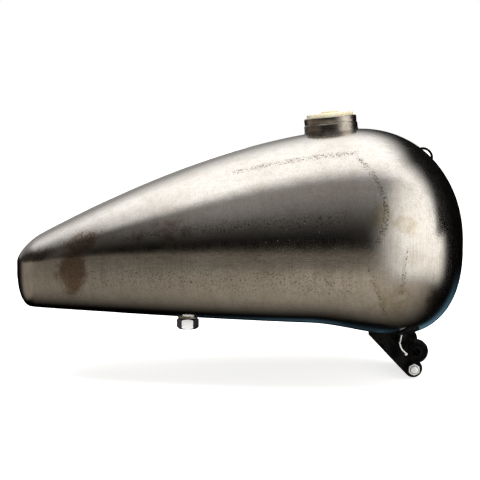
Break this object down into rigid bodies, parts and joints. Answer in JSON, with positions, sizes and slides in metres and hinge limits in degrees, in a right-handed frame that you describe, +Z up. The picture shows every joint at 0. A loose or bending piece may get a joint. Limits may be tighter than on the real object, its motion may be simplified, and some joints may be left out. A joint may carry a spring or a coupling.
{
  "type": "motorcycle fuel tank",
  "caption": "Raw steel teardrop fuel tank that saddles the frame, with a filler neck and push-in plug on the ridge, an under-floor tap outlet and a rubber-bushed front bracket.",
  "frame": {"origin": "front mounting axis where it crosses the tank's plane of symmetry", "axes": "+X towards the front of the motorcycle, +Y to the rider's left, +Z up"},
  "size_m": [0.5928, 0.3362, 0.3524],
  "materials": {
    "raw_steel": "bare brushed sheet steel with oil stains and heat tint",
    "dark_steel": "dark turned steel",
    "black_paint": "satin black paint",
    "bright_zinc": "bright zinc plating",
    "black_rubber": "matt moulded rubber",
    "cream_plastic": "moulded cream plastic",
    "fibre": "red-brown vulcanised fibre"
  },
  "bodies": {
    "tank": {"right_shell": "raw_steel", "left_shell": "raw_steel", "frame_tunnel": "raw_steel", "filler_neck": "dark_steel", "front_baffle": "raw_steel", "rear_baffle": "raw_steel", "tap_spud": "raw_steel", "front_bracket_right": "black_paint", "front_bracket_left": "black_paint", "front_strut_right": "black_paint", "front_strut_left": "black_paint", "front_foot_right": "black_paint", "front_foot_left": "black_paint", "isolator_right": "black_rubber", "isolator_left": "black_rubber", "front_sleeve": "black_paint", "cross_tube": "black_paint", "rear_bracket": "black_paint", "rear_grommet": "black_rubber", "rear_sleeve": "bright_zinc", "cable_loop": "black_paint"},
    "plug": {"filler_plug": "cream_plastic"},
    "tap_washer": {"tap_washer": "fibre"},
    "tap_nut": {"tap_nut": "bright_zinc"},
    "nut_washer": {"washer_nut_side": "black_paint"},
    "tie_nut": {"tie_nut": "bright_zinc"},
    "tie_bolt": {"tie_bolt": "bright_zinc", "washer_head_side": "black_paint"}
  },
  "joints": [
    {"name": "plug_lift", "type": "slide", "parent": "tank", "child": "plug", "axis": [-0.0958, 0, 0.9954], "range_m": [0, 0.06]},
    {"name": "tap_nut_travel", "type": "slide", "parent": "tank", "child": "tap_washer", "axis": [0, 0, -1], "range_m": [0, 0.009]},
    {"name": "tap_nut_turn", "type": "hinge", "parent": "tap_washer", "child": "tap_nut", "pos_m": [-0.3, -0.075, 0.04], "axis": [0, 0, -1], "range_deg": [0, 2160]},
    {"name": "tie_nut_travel", "type": "slide", "parent": "tank", "child": "nut_washer", "axis": [0, -1, 0], "range_m": [0, 0.0127]},
    {"name": "tie_nut_turn", "type": "hinge", "parent": "nut_washer", "child": "tie_nut", "pos_m": [-0.0035, -0.055, -0.023], "axis": [0, -1, 0], "range_deg": [0, 2880]},
    {"name": "tie_bolt_slide", "type": "slide", "parent": "tank", "child": "tie_bolt", "axis": [0, 1, 0], "range_m": [0, 0.12]}
  ],
  "couplings": [
    {"joint": "tap_nut_travel", "follows": "tap_nut_turn", "m_per_rad": 0.00023873},
    {"joint": "tie_nut_travel", "follows": "tie_nut_turn", "m_per_rad": 0.00025266}
  ]
}
